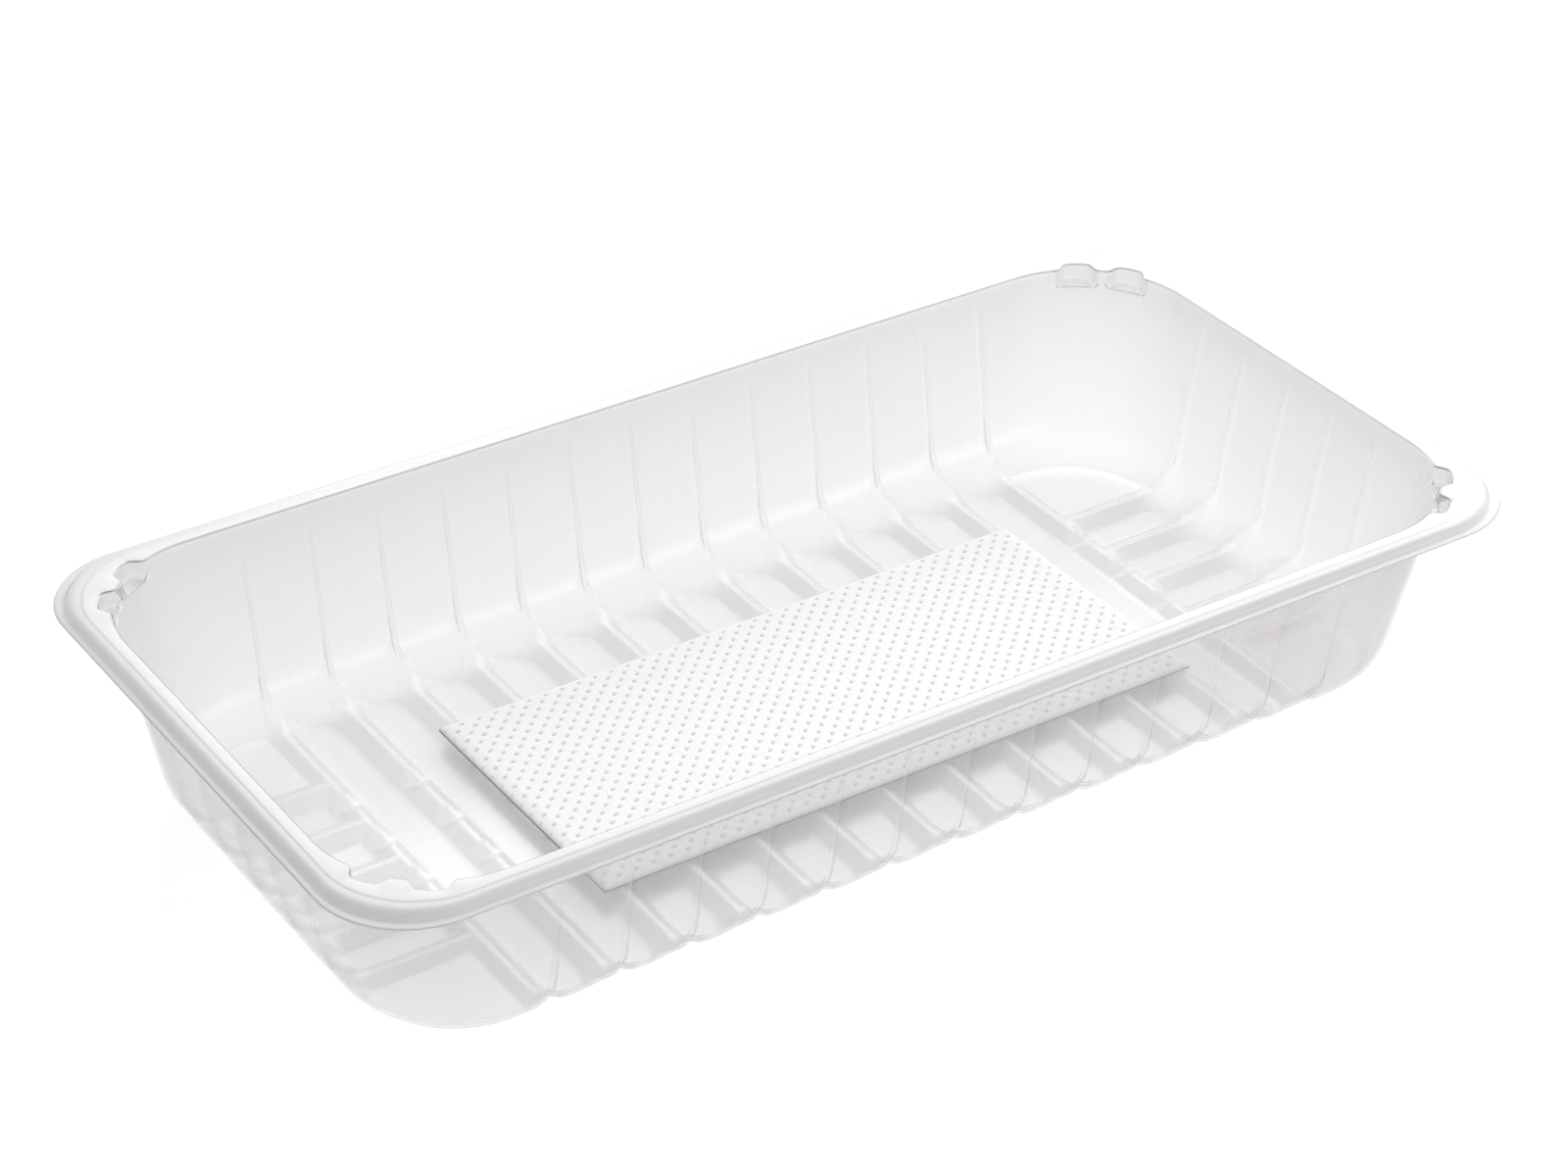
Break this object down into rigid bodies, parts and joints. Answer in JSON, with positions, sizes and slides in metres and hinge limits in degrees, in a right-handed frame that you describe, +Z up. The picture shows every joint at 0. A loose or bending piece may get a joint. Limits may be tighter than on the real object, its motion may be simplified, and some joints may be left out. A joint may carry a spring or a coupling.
{
  "type": "ribbed food tray",
  "caption": "Rectangular thin-walled plastic food tray with tapered ribbed walls, a rolled sealing flange, stacking notches at the corners, a ridged drain floor and an absorbent pad.",
  "frame": {"origin": "centre of the footprint, on the underside of the floor channels that the tray stands on", "axes": "+X along the long side, +Y across the tray, +Z up out of the open mouth"},
  "size_m": [0.3252, 0.1706, 0.054],
  "materials": {
    "frosted_plastic": "frosted translucent",
    "pad_fleece": "matte embossed"
  },
  "bodies": {
    "root": {"tray": "frosted_plastic", "absorbent_pad": "pad_fleece"}
  },
  "joints": []
}
